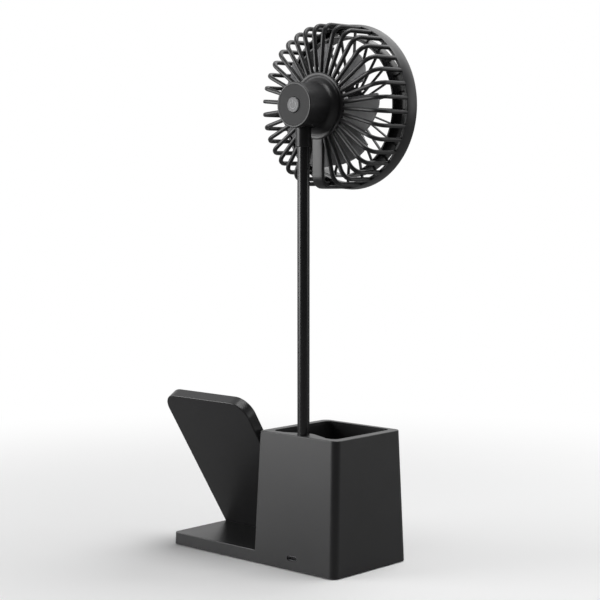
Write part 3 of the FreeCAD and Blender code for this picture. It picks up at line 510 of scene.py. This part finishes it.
mesh = bmesh.new()
draw_rib(mesh, 0.00145, 0.00155, 0.7, first_bearing)
bmesh.ops.spin(mesh, geom=mesh.verts[:] + mesh.edges[:] + mesh.faces[:], cent=fan_axis,
               axis=(0.0, -1.0, 0.0), angle=math.radians(rib_pitch * (rib_total - 1)),
               steps=rib_total - 1, use_duplicate=True)
draw_rib(mesh, 0.0052, 0.0013, 0.25, strip_bearing)
turn_ring(mesh, ((0.0032, rib_plane - 0.0026), (0.0240, rib_plane - 0.0026), (0.0246, rib_plane - 0.0020),
                 (0.0246, rib_plane - 0.0003), (0.0244, rib_plane + 0.0001), (0.0240, rib_plane + 0.0003),
                 (0.0232, rib_plane + 0.0004), (0.0222, rib_plane + 0.0003), (0.0216, rib_plane + 0.0001),
                 (0.0213, rib_plane), (0.0032, rib_plane)))
turn_ring(mesh, ((0.0582, ring_front + 0.0004), (0.0586, ring_front), (0.0608, ring_front),
                 (0.0611, ring_front + 0.0002), (0.0612, ring_front + 0.0005), (0.0606, ring_rear - 0.0006),
                 (0.0604, ring_rear - 0.0001), (0.0600, ring_rear), (0.0586, ring_rear),
                 (0.0582, ring_rear - 0.0004)), 144)
guard_plastic = mould_plastic("guard_plastic", (0.018, 0.018, 0.019), 0.38, 0.08, 2500.0, 0.5)
guard = finish_piece("guard_cage", mesh, guard_plastic, "head")
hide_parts("rear_guard")


# ---- Front grille -------------------------------------------------------------------------------
# Glossy black moulding snapped into the ring: an outer rim, a deep duct round the blades, straight radial
# bars and a middle disc under a domed cap. Its colour is darker than the other black plastics: partly its
# own gloss black, partly painted shade for the duct seen between the guard's ribs.

grille_front = -0.0244
duct_radius = 0.0520
bar_total = 24
bar_pitch = 15
bar_phase = 3.5
mesh = bmesh.new()
bmesh.ops.create_cube(mesh, size=1.0)
bmesh.ops.scale(mesh, vec=(0.0435, 0.0025, 0.0011), verts=mesh.verts)
bmesh.ops.bevel(mesh, geom=mesh.edges[:], offset=0.0003, offset_type="OFFSET", segments=2,
                profile=0.5, affect="EDGES", material=-1)
bmesh.ops.translate(mesh, vec=(fan_axis.x + 0.0355, grille_front + 0.00125, fan_axis.z),
                    verts=mesh.verts)
bmesh.ops.rotate(mesh, cent=fan_axis, matrix=Matrix.Rotation(-math.radians(bar_phase), 3, "Y"),
                 verts=mesh.verts)
bmesh.ops.spin(mesh, geom=mesh.verts[:] + mesh.edges[:] + mesh.faces[:], cent=fan_axis,
               axis=(0.0, -1.0, 0.0), angle=math.radians(bar_pitch * (bar_total - 1)),
               steps=bar_total - 1, use_duplicate=True)
for inner, outer, depth in ((0.0557, 0.0581, 0.0055), (duct_radius - 0.0016, duct_radius, 0.0154)):
    turn_ring(mesh, ((inner, grille_front + 0.0003), (inner + 0.0003, grille_front),
                     (outer - 0.0003, grille_front), (outer, grille_front + 0.0003),
                     (outer, grille_front + depth - 0.0003), (outer - 0.0003, grille_front + depth),
                     (inner + 0.0003, grille_front + depth), (inner, grille_front + depth - 0.0003)), 128)
turn_ring(mesh, ((0.0, grille_front), (0.0146, grille_front), (0.0150, grille_front + 0.0004),
                 (0.0150, grille_front + 0.0021), (0.0146, grille_front + 0.0025),
                 (0.0, grille_front + 0.0025)), 64)
# Base colour about half that of the other black plastics: painted shade for the duct between the guard's
# ribs, on top of the part's own gloss black.
grille_painted_shade_plastic = mould_plastic("grille_painted_shade_plastic", (0.008, 0.008, 0.009), 0.22, 0.05)
grille = finish_piece("grille_face", mesh, grille_painted_shade_plastic, "head")
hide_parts("front_grille")
dress(("grille_cap",), grille_painted_shade_plastic)


# ---- Impeller and motor -------------------------------------------------------------------------
# Seven broad twisted blades moulded in one with a cup that slips over the motor's shaft, in a
# lighter satin grey plastic. The motor behind it is a small drawn steel can.

blade_total = 7
blade_root = 0.0136
blade_tip = 0.0455
blade_middle = 0.0034
blade_phase = math.radians(133)
mesh = bmesh.new()
bmesh.ops.create_grid(mesh, x_segments=14, y_segments=12, size=1.0)
for vert in mesh.verts:
    out = (vert.co.x + 1) / 2
    side = vert.co.y
    radius = blade_root + (blade_tip - blade_root) * out - 0.0022 * out * side ** 4
    pitch = math.radians(46 - 22 * out)
    chord = 0.0170 + 0.0165 * out
    bow = 0.0016 * (1 - side * side)
    across = side * chord / 2 * math.cos(pitch) + bow * math.sin(pitch)
    deep = side * chord / 2 * math.sin(pitch) - bow * math.cos(pitch)
    swing = across / radius + blade_phase + 0.08 * out
    vert.co = Vector((fan_axis.x + radius * math.cos(swing), blade_middle + deep,
                      fan_axis.z + radius * math.sin(swing)))
bmesh.ops.recalc_face_normals(mesh, faces=mesh.faces)
bmesh.ops.solidify(mesh, geom=mesh.faces[:], thickness=0.0013)
bmesh.ops.spin(mesh, geom=mesh.verts[:] + mesh.edges[:] + mesh.faces[:], cent=fan_axis,
               axis=(0.0, -1.0, 0.0), angle=math.radians(360 * (blade_total - 1) / blade_total),
               steps=blade_total - 1, use_duplicate=True)
turn_ring(mesh, ((0.0010, -0.0046), (0.0134, -0.0046), (0.0142, -0.0043), (0.0146, -0.0036),
                 (0.0146, 0.0106), (0.0128, 0.0106), (0.0128, -0.0028), (0.0034, -0.0028),
                 (0.0034, 0.0106), (0.0010, 0.0106)), 64)
blade_plastic = mould_plastic("blade_plastic", (0.34, 0.34, 0.345), 0.34, 0.06, 2500.0, 0.5)
wheel = finish_piece("fan_wheel", mesh, blade_plastic, "rotor")
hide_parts("impeller")
dress(("impeller_nut", "motor_shaft"), screw_steel)
dress(("motor_can", "armature"), work_metal("motor_steel", (0.45, 0.45, 0.46), 0.35, 900.0))
